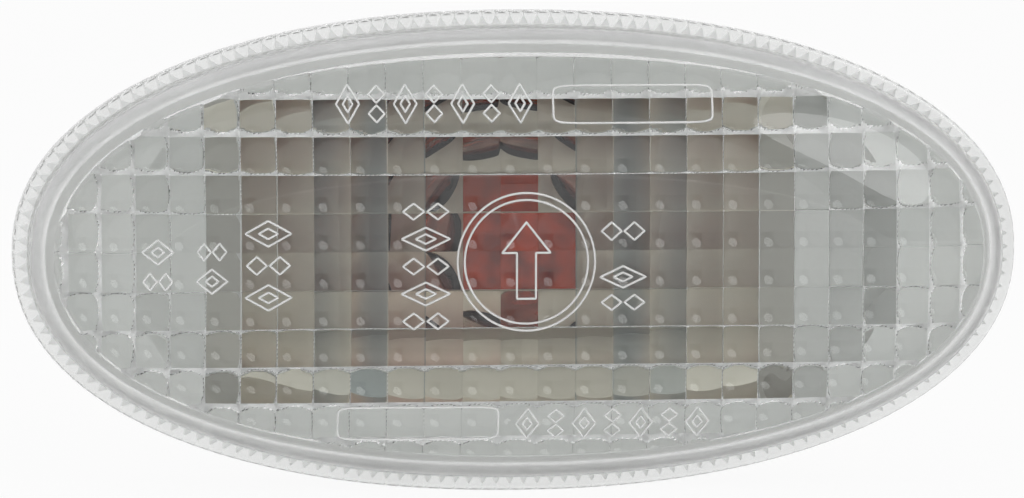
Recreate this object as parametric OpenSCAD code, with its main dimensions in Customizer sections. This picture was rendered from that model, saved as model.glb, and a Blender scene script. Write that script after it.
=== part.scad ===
// Side repeater lamp for a car's front wing: an oval clear lens with stepped pillow optics, welded
// to a plastic tub that holds a metallised trough, an amber wedge-base bulb and its quarter-turn holder.
// Millimetres. The lens faces -Y, +Z is up, and the origin is the centre of the gasket's rear face,
// which lies on the panel. The modules draw in the front view: x to the right, y up and z towards
// the viewer, and facing() turns that view into the part's frame.

/* [Lens outline] */
// Length of the lens over its rim
lens_length = 80; // [70:0.5:95]
// Height of the lens over its rim
lens_height = 38.2; // [36:0.2:44]
// Power of the oval: 2 is an ellipse, and more is squarer
outline_power = 2.17; // [2:0.01:2.6]

/* [Lens section] */
// Height of the middle of the dome over the panel
crown_height = 11.6; // [10.5:0.1:14]
// How much lower the dome is at its edge than at its middle, over the curved margin
edge_drop = 1.9; // [1:0.1:2.6]
// Width of the dome's curved margin
edge_blend = 9; // [6:0.5:11]
// Slight hollow-to-crown curve over the whole dome
crown_sag = 0.4; // [0:0.1:1]
// Thickness of the lens at a pillow's corners
optic_thickness = 1.8; // [1.4:0.1:2.4]
// Thickness of the skin that the pillows stand on
skin_thickness = 0.8; // [0.6:0.1:1]
// Thickness of the rim over the housing's flange
rim_thickness = 1.4; // [1:0.1:2]
// Width of the flat front of the rim
rim_width = 1.1; // [0.9:0.1:1.4]
// Radius of the rim's front edge
rim_round = 0.4; // [0.2:0.05:0.6]
// Inset of the field of pillows from the outline
field_inset = 3.6; // [3.3:0.1:4.5]
// Inset of the sloping wall's inner face at the rim
wall_inner_inset = 2.5; // [2.2:0.1:3]

/* [Flutes in the skirt] */
// Number of flutes around the inside of the skirt
flute_count = 174; // [120:6:240]
// Thickness of the skirt between the flutes
skirt_thickness = 0.45; // [0.35:0.05:0.6]
// Height of a flute
flute_height = 0.6; // [0.3:0.05:0.7]
// Gap from the skirt's rear edge to the gasket
skirt_gap = 0.3; // [0.1:0.1:0.6]

/* [Pillow optics] */
// Pitch of the square pillows
pillow_pitch = 3; // [2.5:0.1:4]
// Radius of each pillow's round face
pillow_radius = 5.5; // [4.5:0.5:12]
// Strips across each pillow's round face
pillow_strips = 3; // [2:1:3]
// Height of the smallest riser between one pillow and the next
riser_height = 0.1; // [0.05:0.05:0.2]

/* [Gasket and flange] */
// Thickness of the gasket as it lies on the panel
gasket_thickness = 1.2; // [0.8:0.1:2]
// Width of the gasket's ring
gasket_width = 2.1; // [1.6:0.1:2.3]
// Inset of the gasket from the outline
gasket_inset = 1.5; // [1.4:0.1:1.8]
// Thickness of the housing's welding flange
flange_thickness = 1.6; // [1.2:0.1:2.4]
// Clearance from the flange's edge to the flutes
flange_clearance = 0.15; // [0.1:0.05:0.3]

/* [Tub] */
// Distance from the lens's ends to the neck that goes through the panel
neck_end_margin = 8; // [7.5:0.1:11]
// Distance from the lens's long edges to the neck
neck_side_margin = 6.9; // [6.6:0.1:7.1]
// Thickness of the tub's walls
tub_wall = 1.5; // [1.2:0.1:2]
// Depth of the shelves behind the panel's face
shelf_depth = 3; // [2:0.1:4]
// Thickness of the panel that the lamp is made for
panel_thickness = 1; // [0.7:0.1:1.5]
// Width of the hook and of the clip
hook_width = 6; // [4:0.5:7]
// How far the hook and the clip reach past the neck
hook_reach = 2.6; // [1.8:0.1:2.8]

/* [Reflector] */
// Distance from the neck's ends to the trough
trough_end_margin = 11; // [10:0.25:13]
// Depth of the trough below the shelves
trough_depth = 11; // [9:0.25:12]
// Thickness of the reflector
trough_wall = 0.9; // [0.7:0.1:1.2]
// Width of the lip at each end of the trough
lip_width = 2; // [1.6:0.1:2.4]
// Diameter of the hole for the bulb
bulb_hole = 11.6; // [11.2:0.1:13]
// Clearance around the reflector in the tub
trough_clearance = 0.4; // [0.3:0.05:0.5]

/* [Bulb] */
// Diameter of the bulb's glass
bulb_diameter = 10.2; // [9.6:0.1:10.6]
// Length of the glass in front of its wedge
bulb_length = 19.6; // [17:0.1:20.5]
// Thickness of the glass
glass_thickness = 0.7; // [0.5:0.1:0.9]
// Width of the pressed wedge
wedge_width = 9.4; // [8.8:0.1:9.6]
// Thickness of the pressed wedge
wedge_thickness = 4.8; // [4.4:0.1:5]
// Length of the pressed wedge
wedge_length = 6.7; // [6:0.1:7]
// Diameter of the lead wires
lead_diameter = 0.4; // [0.3:0.05:0.5]
// Distance between the lead wires
lead_spacing = 3.6; // [3:0.1:4]
// Diameter of the filament's coil
filament_diameter = 0.5; // [0.3:0.05:0.6]
// Distance from the filament to the tip of the bulb
filament_depth = 10; // [8:0.5:12]

/* [Bulb holder] */
// Diameter of the holder's neck in the port
holder_diameter = 16; // [15.6:0.1:16.2]
// Radial running clearance of the neck in the port
port_clearance = 0.08; // [0.04:0.01:0.1]
// Thickness of the port's plate
port_plate = 1.8; // [1.4:0.1:2.2]
// How far the lugs stand out from the neck
lug_reach = 1.7; // [1.4:0.1:2]
// Width of a lug
lug_width = 4.4; // [3.6:0.1:5]
// Thickness of a lug
lug_thickness = 1.8; // [1.4:0.1:2.2]
// Clearance around the lugs
lug_clearance = 0.3; // [0.2:0.05:0.4]
// Turn from locked to free, in degrees
lock_turn = 50; // [40:1:60]
// Diameter of the holder's flange
holder_flange = 22; // [21.6:0.1:23]
// Thickness of the holder's flange
holder_flange_thickness = 2; // [1.6:0.1:2.4]
// Thickness of the rubber seal
seal_thickness = 1.4; // [1:0.1:2]
// Diameter of the grip barrel
grip_diameter = 17.6; // [17:0.1:18.4]
// Length of the grip barrel
grip_length = 5.5; // [5:0.25:7]
// Number of ribs on the grip barrel
grip_ribs = 14; // [8:1:18]
// Depth of the connector inlet
inlet_depth = 7.5; // [6:0.25:9]
// Inside width of the connector inlet
inlet_width = 7.4; // [6.8:0.1:8]
// Inside height of the connector inlet
inlet_height = 11; // [10.4:0.1:11.6]
// Thickness of the inlet's wall
inlet_wall = 1.2; // [1:0.1:1.6]

/* [Contacts and clip] */
// Width of the contact strips
contact_width = 4.8; // [4.4:0.1:5.4]
// Thickness of the contact strips
contact_thickness = 0.5; // [0.4:0.05:0.6]
// Fit of the contacts and wires in what holds them
contact_fit = 0.03; // [0.02:0.01:0.05]
// Thickness of the clip's spring steel
clip_thickness = 0.5; // [0.4:0.05:0.6]

/* [Hidden] */
$fn = 48;

// Overshoot of a cut past the face that it opens
over = 0.5;
// How far a piece is sunk into the one that it is moulded on
root = 0.2;

// Half lengths of the outline and of the field of pillows
half_length = lens_length / 2;
half_height = lens_height / 2;
field_a = half_length - field_inset;
field_b = half_height - field_inset;

// The neck that goes through the panel, and the trough in it
neck_length = lens_length - 2 * neck_end_margin;
neck_height = lens_height - 2 * neck_side_margin;
trough_width = neck_length - 2 * trough_end_margin;

// Levels in front of the panel
flange_front = gasket_thickness + flange_thickness;
skirt_rear = gasket_thickness + skirt_gap;
rim_front = flange_front + rim_thickness;

// Levels behind the panel, which run to the rear one after another
shelf_front = -shelf_depth;
shelf_rear = shelf_front - tub_wall;
shelf_middle = (shelf_front + shelf_rear) / 2;
trough_front = shelf_front - trough_depth;
trough_rear = trough_front - trough_wall;
holder_front = trough_rear - lug_clearance;
lug_setback = 0.2;
lug_front = holder_front - lug_setback;
lug_rear = lug_front - lug_thickness;
plate_front = lug_rear - lug_clearance;
plate_rear = plate_front - port_plate;
seal_rear = plate_rear - seal_thickness;
holder_flange_rear = seal_rear - holder_flange_thickness;
grip_rear = holder_flange_rear - grip_length;
inlet_rear = grip_rear - inlet_depth;

// Points around the plain outline, a multiple of four, and around the fluted one
outline_points = 88;
flute_points = 2 * flute_count;
// Steps of the table that spaces the points evenly along the oval
spacing_steps = 720;

// The oval

function signed_power(v, e) = sign(v) * pow(abs(v), e);
function oval_point(a, b, angle) = [a * signed_power(cos(angle), 2 / outline_power),
    b * signed_power(sin(angle), 2 / outline_power)];
function oval_step(i) = norm(oval_point(half_length, half_height, (i + 1) * 360 / spacing_steps)
    - oval_point(half_length, half_height, i * 360 / spacing_steps));
// Rows of length along the outline and the angle there
spacing = [for (i = 0, run = 0; i <= spacing_steps; run = run + oval_step(i), i = i + 1)
    [run, i * 360 / spacing_steps]];
perimeter = spacing[spacing_steps][0];
function even_angles(count) = [for (k = [0 : count - 1]) lookup(perimeter * k / count, spacing)];
outline_angles = even_angles(outline_points);
flute_angles = even_angles(flute_points);

function oval(inset) = [for (angle = outline_angles)
    oval_point(half_length - inset, half_height - inset, angle)];
// Every second point of the fluted outline lies a flute's height further in
function fluted_oval(inset, height) = [for (k = [0 : flute_points - 1])
    oval_point(half_length - inset - height * (k % 2), half_height - inset - height * (k % 2),
        flute_angles[k])];

// The dome

// Below 1 inside the oval with half lengths a and b
function oval_value(p, a, b) = pow(abs(p[0]) / a, outline_power) + pow(abs(p[1]) / b, outline_power);
// How far a point lies inside the field's edge, found by halving between two limits
lowest_inset = -2 * pillow_pitch;
highest_inset = field_b - over;
halvings = 16;
function inset_at(p, low = lowest_inset, high = highest_inset, steps = halvings) = steps == 0
    ? (low + high) / 2
    : let (middle = (low + high) / 2)
    oval_value(p, field_a - middle, field_b - middle) < 1
        ? inset_at(p, middle, high, steps - 1)
        : inset_at(p, low, middle, steps - 1);
function dome_height(p, inset) = crown_height
    - edge_drop * pow(max(0, 1 - inset / edge_blend), 2)
    - crown_sag * (pow(p[0] / field_a, 2) + pow(p[1] / field_b, 2));

function level_ring(inset, level) = [for (p = oval(inset)) [p[0], p[1], level]];
function dome_ring(inset, below) = [for (p = oval(field_inset + inset))
    [p[0], p[1], dome_height(p, inset) - below]];
// Inside the curved margin the rings shrink to the centre
function crown_ring(ratio, below) = [for (p = oval(field_inset + edge_blend))
    [p[0] * ratio, p[1] * ratio, dome_height(p * ratio, edge_blend) - below]];

// A closed solid over rings of points, flat on its first ring and pointed on a centre point at its last
module dome_solid(rings, centre) {
    count = len(rings[0]);
    rows = len(rings);
    points = concat([for (ring = rings) for (p = ring) p], [centre]);
    sides = [for (r = [0 : rows - 2]) for (k = [0 : count - 1])
        let (next = (k + 1) % count)
        each [[r * count + k, (r + 1) * count + next, r * count + next],
            [r * count + k, (r + 1) * count + k, (r + 1) * count + next]]];
    cap = [for (k = [0 : count - 1])
        [(rows - 1) * count + k, rows * count, (rows - 1) * count + (k + 1) % count]];
    polyhedron(points, concat([[for (k = [0 : count - 1]) k]], sides, cap));
}

// Helpers

module facing() {
    rotate([90, 0, 0]) children();
}

// Extrudes a side view, drawn in x and z, by a width across y
module across(width) {
    rotate([90, 0, 0]) linear_extrude(width, center = true) children();
}

// Extrudes a side view, drawn in y and z, by a width across x
module along(width) {
    rotate([0, 0, 90]) across(width) children();
}

module pipe(radius, from, to) {
    translate([0, 0, min(from, to)]) cylinder(r = radius, h = abs(to - from));
}

// A slot with round ends, drawn with true arcs
module round_slot(length, height) {
    square([length - height, height], center = true);
    for (side = [-1, 1])
        translate([side * (length - height) / 2, 0]) circle(d = height);
}

module round_box(width, height, radius) {
    square([width - 2 * radius, height], center = true);
    square([width, height - 2 * radius], center = true);
    for (x = [-1, 1], y = [-1, 1])
        translate([x * (width / 2 - radius), y * (height / 2 - radius)]) circle(radius);
}

function unit(v) = v / norm(v);
function left_of(v) = [-v[1], v[0]];
// Normal of a path at a point: the mean of its neighbours' directions, turned left
function path_normal(path, i) = left_of(unit(
    (i == 0 ? [0, 0] : unit(path[i] - path[i - 1]))
    + (i == len(path) - 1 ? [0, 0] : unit(path[i + 1] - path[i]))));
// At a corner the offset grows so that the strip keeps its thickness
function corner_growth(path, i) = i == 0 || i == len(path) - 1 ? 1
    : 1 / max(0.5, path_normal(path, i) * left_of(unit(path[i + 1] - path[i])));
function shifted(path, distance) = [for (i = [0 : len(path) - 1])
    path[i] + distance * corner_growth(path, i) * path_normal(path, i)];
// The outline of a bent strip between two offsets of its path
function strip(path, from, to) = concat(shifted(path, from),
    [for (i = [len(path) - 1 : -1 : 0]) shifted(path, to)[i]]);

// Lens

// Inset and level of the outer face, from the skirt's rear edge to the shoulder
wall_top = crown_height - edge_drop - crown_sag;
wall_rise = wall_top - rim_front;
wall_run = field_inset - rim_width;
// The wall is the first part of an oval's quarter, up to this turn and these shares of its run and rise
wall_steps = 4;
wall_turn = 70;
run_share = 0.9;
rise_share = 0.95;
outer_wall = [for (i = [1 : wall_steps])
    let (turn = wall_turn * i / wall_steps)
    [rim_width + wall_run * run_share * (1 - cos(turn)) / (1 - cos(wall_turn)),
        rim_front + wall_rise * rise_share * sin(turn) / sin(wall_turn)]];
round_middle = rim_round * (1 - cos(45));
outer_profile = concat(
    [[0, skirt_rear], [0, rim_front - rim_round], [round_middle, rim_front - round_middle],
        [rim_round, rim_front], [rim_width, rim_front]],
    outer_wall);
dome_insets = [0, edge_blend / 3, edge_blend * 2 / 3, edge_blend];
crown_ratios = [0.5];
// The inner face of the wall leans in from the rim to the field, below the lowest pillows
wall_lean = field_inset - wall_inner_inset;
pillow_room = 0.6;
well_depth = wall_top - optic_thickness - pillow_room - flange_front;
// At each ring, the ratio of the lean and of the well's depth that it has reached
inner_wall_ratios = [[0.15, 0.35], [0.5, 0.75], [1, 1]];
// Inset of the skin's inner face from the field's edge
skin_inset = 0.2;
// How far the outermost pillows are rooted in the wall
field_root = 0.25;

// Columns and rows of pillows on each side of the middle: one pillow stands on the vertical
// centre line, and the horizontal centre line runs between two rows
side_columns = round((field_a - pillow_pitch / 2) / pillow_pitch);
side_rows = round(field_b / pillow_pitch);
pillow_half = pillow_pitch / 2;
pillow_corner = sqrt(pow(pillow_radius, 2) - 2 * pow(pillow_half, 2));
function pillow_bulge(u, v) = sqrt(pow(pillow_radius, 2) - u * u - v * v) - pillow_corner;
// Depth of the pillows' roots in the skin
root_depth = 0.3;

// One pillow: a square prism with a round face to the rear, at the level of the dome over its centre.
// low and high are its corners, which reach past the square at the field's edge.
module pillow(centre, low, high) {
    smooth_level = dome_height(centre, inset_at(centre)) - optic_thickness;
    level = riser_height * round(smooth_level / riser_height);
    face = [for (i = [0 : pillow_strips], j = [0 : pillow_strips])
        let (x = low[0] + (high[0] - low[0]) * i / pillow_strips,
            y = low[1] + (high[1] - low[1]) * j / pillow_strips)
        [x, y, level - pillow_bulge(x - centre[0], y - centre[1])]];
    root = [for (x = [low[0], high[0]], y = [low[1], high[1]])
        [x, y, dome_height([x, y], inset_at([x, y])) - skin_thickness + root_depth]];
    points = concat(face, root);
    hull() polyhedron(points, [for (i = [1 : len(points) - 2]) [0, i, i + 1]]);
}

module pillow_field() {
    for (column = [-side_columns : side_columns], row = [-side_rows : side_rows - 1]) {
        centre = [column * pillow_pitch, (row + 0.5) * pillow_pitch];
        low = [column == -side_columns ? min(centre[0] - pillow_half, -field_a) : centre[0] - pillow_half,
            row == -side_rows ? min(centre[1] - pillow_half, -field_b) : centre[1] - pillow_half];
        high = [column == side_columns ? max(centre[0] + pillow_half, field_a) : centre[0] + pillow_half,
            row == side_rows - 1 ? max(centre[1] + pillow_half, field_b) : centre[1] + pillow_half];
        nearest = [max(0, abs(centre[0]) - pillow_half), max(0, abs(centre[1]) - pillow_half)];
        if (oval_value(nearest, field_a, field_b) < 1)
            pillow(centre, low, high);
    }
}

module lens() {
    color([0.9, 0.93, 0.93, 0.5]) facing() union() {
        difference() {
            dome_solid(
                concat([for (p = outer_profile) level_ring(p[0], p[1])],
                    [for (inset = dome_insets) dome_ring(inset, 0)],
                    [for (ratio = crown_ratios) crown_ring(ratio, 0)]),
                [0, 0, crown_height]);
            // Fluted inside of the skirt, around the housing's flange
            translate([0, 0, skirt_rear - over])
                linear_extrude(flange_front - skirt_rear + over)
                    polygon(fluted_oval(skirt_thickness, flute_height));
            // Inside of the wall and of the skin
            dome_solid(
                concat([level_ring(wall_inner_inset, flange_front - over)],
                    [for (s = inner_wall_ratios)
                        level_ring(wall_inner_inset + wall_lean * s[0], flange_front + well_depth * s[1])],
                    [for (inset = [skin_inset, edge_blend / 2, edge_blend])
                        dome_ring(inset, skin_thickness)]),
                [0, 0, crown_height - skin_thickness]);
        }
        intersection() {
            translate([0, 0, flange_front]) linear_extrude(crown_height)
                polygon(oval(field_inset - field_root));
            pillow_field();
        }
    }
}

// Reflector

trough_half = trough_width / 2;
trough_strips = 24;
// Half height of the tub's inside, and of the reflector in it
tub_half = neck_height / 2 - tub_wall;
trough_half_height = tub_half - trough_clearance;
function trough_at(i) = -trough_half + trough_width * i / trough_strips;
function parabola(x, depth) = trough_front + depth * pow(x / trough_half, 2);
// The belly's line: a parabola from one shelf to the other
trough_path = [for (i = [0 : trough_strips]) [trough_at(i), parabola(trough_at(i), trough_depth)]];
// The reflector's mirror face, which rises to lips that lie on the shelves
lip_top = shelf_front + trough_wall;
mirror_path = concat([[-trough_half - lip_width, lip_top]],
    [for (i = [0 : trough_strips]) [trough_at(i), parabola(trough_at(i), trough_depth + trough_wall)]],
    [[trough_half + lip_width, lip_top]]);
// The line along the middle of the reflector's thickness
wall_line = shifted(mirror_path, -trough_wall / 2);
// The bead along each wall's front edge, how far it stays behind that edge and its gap to the tub
bead_half = trough_half - lip_width;
bead_height = 0.8;
bead_setback = 0.1;
bead_gap = 0.05;
bead_front = wall_line[1][1] - bead_setback;

module reflector() {
    color("silver") facing() difference() {
        union() {
            // Cut to the round ends of the tub
            intersection() {
                trough_form();
                translate([0, 0, trough_rear - over])
                    linear_extrude(trough_depth + 2 * trough_wall + 2 * over)
                        round_slot(neck_length - 2 * (tub_wall + trough_clearance), 2 * trough_half_height);
            }
            edge_beads();
        }
        pipe(bulb_hole / 2, trough_rear - over, shelf_front);
    }
}

// The upper and lower walls' front edges end in a bead that covers the gap between them and the tub
module edge_beads() {
    bead_reach = trough_clearance - bead_gap;
    for (side = [-1, 1])
        translate([0, side * (trough_half_height + (bead_reach - root) / 2), bead_front - bead_height / 2])
            cube([2 * bead_half, bead_reach + root, bead_height], center = true);
}

// The trough and its upper and lower walls, before the round ends are cut
module trough_form() {
    across(2 * (trough_half_height + over)) polygon(strip(mirror_path, 0, -trough_wall));
    for (side = [-1, 1])
        translate([0, side * (trough_half_height + (over - trough_wall) / 2), 0])
            across(trough_wall + over) polygon([for (i = [1 : trough_strips + 1]) wall_line[i]]);
}

// Housing

belly_gap = trough_wall + trough_clearance;
tower_inner = holder_diameter / 2 + lug_reach + 2 * lug_clearance;
tower_outer = tower_inner + tub_wall;
slot_reach = holder_diameter / 2 + lug_reach + lug_clearance;
// The lugs stand up and down when locked; the slots lie where the turn takes them
lug_angle = 90;
slot_angle = lug_angle - lock_turn;
// Half the angle that a lug takes up, and the angle of its clearance
lug_half_angle = asin(lug_width / 2 / (holder_diameter / 2));
lug_play_angle = 2.5;
stop_angle = 8;
hook_gap = 0.3;
hook_front = -panel_thickness - hook_gap;
hook_tip = 0.8;
hook_foot = 2.6;
fin_length = 6;
fin_setback = 2.2;
fin_face = neck_length / 2 - fin_setback;
belly_inset = 0.3;
tower_front = shelf_middle - trough_depth / 2;
// Half the width between the shelves, where the belly's inner face ends
opening_half = shifted(trough_path, -belly_gap)[trough_strips][0];
// Ribs run from near the neck's ends to this share of the trough's half width
rib_thickness = 1.2;
rib_setback = 3;
rib_foot = trough_half * 0.55;
rib_foot_level = parabola(rib_foot, trough_depth) - belly_gap - tub_wall;

// A wedge of a ring: used for the stops of the lugs
module ring_wedge(inner, outer, from, to) {
    middle = (from + to) / 2;
    width = 2 * inner * sin((to - from) / 2);
    rotate([0, 0, middle]) translate([inner, -width / 2]) square([outer - inner, width]);
}

module tub_outside() {
    translate([0, 0, gasket_thickness]) linear_extrude(flange_thickness)
        polygon(oval(skirt_thickness + flute_height + flange_clearance));
    translate([0, 0, shelf_rear]) linear_extrude(gasket_thickness + flange_thickness / 2 - shelf_rear)
        round_slot(neck_length, neck_height);
    // Belly around the reflector
    across(2 * (tub_half + tub_wall - belly_inset))
        polygon(concat(shifted(trough_path, -belly_gap - tub_wall),
            [[trough_half, shelf_middle], [-trough_half, shelf_middle]]));
    // Tower of the bulb port
    pipe(tower_outer, tower_front, plate_rear);
    // Ribs from the shelves to the belly
    for (side = [-1, 1])
        translate([0, side * neck_height / 4, 0]) across(rib_thickness)
            polygon([[rib_setback - neck_length / 2, shelf_rear + root],
                [neck_length / 2 - rib_setback, shelf_rear + root],
                [rib_foot, rib_foot_level], [-rib_foot, rib_foot_level]]);
}

module tub_inside() {
    translate([0, 0, shelf_front]) linear_extrude(flange_front - shelf_front + over)
        round_slot(neck_length - 2 * tub_wall, neck_height - 2 * tub_wall);
    across(2 * tub_half)
        polygon(concat(shifted(trough_path, -belly_gap),
            [[opening_half, shelf_front + over], [-opening_half, shelf_front + over]]));
    pipe(tower_inner, trough_front, plate_front);
    // Bore of the port and its two slots
    pipe(holder_diameter / 2 + port_clearance, plate_rear - over, plate_front + over);
    for (turn = [0, 180])
        rotate([0, 0, slot_angle + turn])
            translate([0, -lug_width / 2 - lug_clearance, plate_rear - over])
                cube([slot_reach, lug_width + 2 * lug_clearance, port_plate + 2 * over]);
}

module housing() {
    color("gainsboro") facing() union() {
        difference() {
            tub_outside();
            tub_inside();
        }
        // Stops for the lugs, at the locked and at the free end of the turn
        for (turn = [0, 180], at = [lug_angle + lug_half_angle + lug_play_angle,
                slot_angle - lug_half_angle - lug_play_angle - stop_angle])
            rotate([0, 0, turn]) translate([0, 0, plate_front - root]) linear_extrude(lug_thickness)
                ring_wedge(holder_diameter / 2 + 2 * lug_clearance, tower_inner + root, at, at + stop_angle);
        // Hook that goes behind the panel's edge
        across(hook_width)
            polygon([[root - neck_length / 2, hook_front], [-neck_length / 2 - hook_reach, hook_front],
                [-neck_length / 2 - hook_reach, hook_front - hook_tip],
                [root - neck_length / 2, hook_front - hook_foot]]);
        // Fin that carries the clip
        translate([fin_face - tub_wall / 2, 0, shelf_rear + (root - fin_length) / 2])
            cube([tub_wall, hook_width, fin_length + root], center = true);
    }
}

// Gasket and clip

module panel_gasket() {
    gasket_inner = gasket_inset + gasket_width;
    lip = 0.3;
    color("dimgray") facing() difference() {
        union() {
            linear_extrude(gasket_thickness / 2) polygon(oval(gasket_inset));
            linear_extrude(gasket_thickness) polygon(oval(gasket_inset + lip));
        }
        translate([0, 0, -over]) linear_extrude(gasket_thickness + 2 * over) polygon(oval(gasket_inner));
    }
}

clip_inset = 0.3;
clip_play = 0.05;
clip_gap = 0.4;
elbow_drop = 1.6;
elbow_reach = 0.6;
nose_reach = 0.9;

module retaining_clip() {
    half = clip_thickness / 2;
    inner = fin_face - tub_wall - clip_play - half;
    outer = fin_face + clip_play + half;
    fold = shelf_rear - fin_length - clip_play - half;
    neck_side = neck_length / 2;
    // From the inner leg round the fin's end, out past the neck and in again behind the panel
    path = [[inner, shelf_rear - clip_gap], [inner, fold], [outer, fold], [outer, shelf_rear - elbow_drop],
        [neck_side + elbow_reach, shelf_rear - clip_gap], [neck_side + hook_reach - half, shelf_front],
        [neck_side + nose_reach, hook_front - half]];
    color("slategray") facing() across(hook_width - 2 * clip_inset) polygon(strip(path, -half, half));
}

// Bulb

bulb_radius = bulb_diameter / 2;
// Depth of the round seat in which the glass starts
seat_depth = 0.7;
bulb_base = holder_front - seat_depth;
bulb_tip = bulb_base + bulb_length;
wedge_end = bulb_base - wedge_length;
lead_radius = lead_diameter / 2;
lead_face = wedge_thickness / 2 + lead_radius;
filament_level = bulb_tip - filament_depth;
lead_fold = wedge_end - lead_radius - contact_fit;
// How far up the wedge's face the wires run, as a share of its length
fold_share = 0.7;
// The glass draws in above its base: heights of the barrel's foot and of the shoulder, and its widths
draw_height = 2.6;
shoulder_height = 1.2;
shoulder_share = 0.93;
outer_neck = wedge_width * 0.42;
inner_neck = wedge_width * 0.28;
// Thickness of the glass over the wedge, how far the wedge runs up into it, and the wedge's corners
glass_floor = 1.6;
wedge_root = 1.4;
wedge_round = 0.6;

// Half section of the bulb's glass: round tip, straight barrel and drawn-in base
module bulb_section(radius, tip, base, neck) {
    foot = base + draw_height;
    shoulder = base + shoulder_height;
    intersection() {
        union() {
            translate([0, tip - radius]) circle(radius);
            polygon([[-neck, base], [-radius * shoulder_share, shoulder], [-radius, foot],
                [-radius, tip - radius], [radius, tip - radius], [radius, foot],
                [radius * shoulder_share, shoulder], [neck, base]]);
        }
        translate([0, base - over]) square([radius + over, tip - base + 2 * over]);
    }
}

module lead_wire(x, side, radius) {
    pipe_top = filament_level + filament_diameter / 2;
    translate([x, 0, lead_fold]) cylinder(r = radius, h = pipe_top - lead_fold, $fn = 24);
    translate([x, 0, lead_fold]) sphere(radius, $fn = 24);
    translate([x, 0, lead_fold]) rotate([-side * 90, 0, 0]) cylinder(r = radius, h = lead_face, $fn = 24);
    translate([x, side * lead_face, lead_fold]) sphere(radius, $fn = 24);
    translate([x, side * lead_face, lead_fold]) cylinder(r = radius, h = wedge_length * fold_share, $fn = 24);
}

module bulb_glass() {
    color([0.85, 0.35, 0.05, 0.7]) facing() difference() {
        union() {
            rotate_extrude() bulb_section(bulb_radius, bulb_tip, bulb_base, outer_neck);
            translate([0, 0, wedge_end]) linear_extrude(wedge_length + wedge_root)
                round_box(wedge_width, wedge_thickness, wedge_round);
        }
        rotate_extrude() bulb_section(bulb_radius - glass_thickness, bulb_tip - glass_thickness,
            bulb_base + glass_floor, inner_neck);
        for (side = [-1, 1])
            translate([side * lead_spacing / 2, 0, wedge_end - over])
                cylinder(r = lead_radius + contact_fit, h = wedge_length + glass_floor + 2 * over, $fn = 24);
    }
}

module bulb_filament() {
    length = lead_spacing - lead_diameter - 2 * contact_fit;
    color("lightgray") facing() translate([-length / 2, 0, filament_level]) rotate([0, 90, 0])
        cylinder(d = filament_diameter, h = length, $fn = 24);
}

module bulb_lead_upper() {
    color("silver") facing() lead_wire(-lead_spacing / 2, 1, lead_radius);
}

module bulb_lead_lower() {
    color("silver") facing() lead_wire(lead_spacing / 2, -1, lead_radius);
}

// Holder

socket_play = 0.2;
socket_floor = lead_fold - lead_radius - socket_play;
grip_rib_radius = 0.8;
inlet_round = 1;
contact_level = lead_face + lead_radius + contact_fit + contact_thickness / 2;
contact_setback = 1.2;
contact_jog = 0.6;
blade_level = 3.6;
blade_setback = 1.5;

// Side view of the upper contact, in y and z: beside the wedge, through the socket's floor and outwards
// to the blade
contact_path = [[contact_level, bulb_base - contact_setback], [contact_level, socket_floor - contact_jog],
    [blade_level, socket_floor - 2 * contact_jog], [blade_level, inlet_rear + blade_setback]];

module contact_shape(side, grow) {
    mirror([0, side > 0 ? 0 : 1, 0]) along(contact_width + 2 * grow)
        polygon(strip(contact_path, -contact_thickness / 2 - grow, contact_thickness / 2 + grow));
}

module bulb_holder() {
    socket_height = holder_front - socket_floor;
    color("darkslategray") facing() difference() {
        union() {
            pipe(holder_diameter / 2, holder_front, seal_rear);
            pipe(holder_flange / 2, holder_flange_rear, seal_rear);
            pipe(grip_diameter / 2, grip_rear, holder_flange_rear);
            // Lugs
            for (turn = [0, 180])
                rotate([0, 0, lug_angle + turn]) translate([0, -lug_width / 2, lug_rear])
                    cube([holder_diameter / 2 + lug_reach, lug_width, lug_thickness]);
            // Grip ribs, sunk into the flange
            for (k = [0 : grip_ribs - 1])
                rotate([0, 0, k * 360 / grip_ribs]) translate([grip_diameter / 2, 0, 0])
                    pipe(grip_rib_radius, grip_rear, holder_flange_rear + root);
            // Wall of the inlet, sunk into the grip barrel
            translate([0, 0, inlet_rear]) linear_extrude(inlet_depth + over)
                round_box(inlet_width + 2 * inlet_wall, inlet_height + 2 * inlet_wall,
                    inlet_round + inlet_wall);
        }
        // Round seat and slot for the bulb
        pipe(bulb_radius + socket_play, bulb_base - socket_play, holder_front + over);
        translate([0, 0, socket_floor]) linear_extrude(socket_height + over)
            round_box(wedge_width + 2 * socket_play, wedge_thickness + 2 * socket_play, wedge_round);
        // Room beside the wedge for the contacts and for the folded wires
        translate([0, 0, socket_floor]) linear_extrude(socket_height + over)
            square([contact_width + 2 * socket_play, 2 * (contact_level + contact_thickness)], center = true);
        // Passages for the contacts
        for (side = [-1, 1])
            contact_shape(side, contact_fit);
        // Inside of the inlet
        translate([0, 0, inlet_rear - over]) linear_extrude(inlet_depth + over)
            round_box(inlet_width, inlet_height, inlet_round);
    }
}

// How far the seal reaches past the port's slots
seal_margin = 0.4;

module holder_seal() {
    color("black") facing() difference() {
        pipe(slot_reach + seal_margin, seal_rear, plate_rear);
        pipe(holder_diameter / 2 + contact_fit, seal_rear - over, plate_rear + over);
    }
}

module contact_upper() {
    color("goldenrod") facing() contact_shape(1, 0);
}

module contact_lower() {
    color("goldenrod") facing() contact_shape(-1, 0);
}

lens();
housing();
reflector();
panel_gasket();
retaining_clip();
bulb_glass();
bulb_filament();
bulb_lead_upper();
bulb_lead_lower();
bulb_holder();
holder_seal();
contact_upper();
contact_lower();
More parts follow.
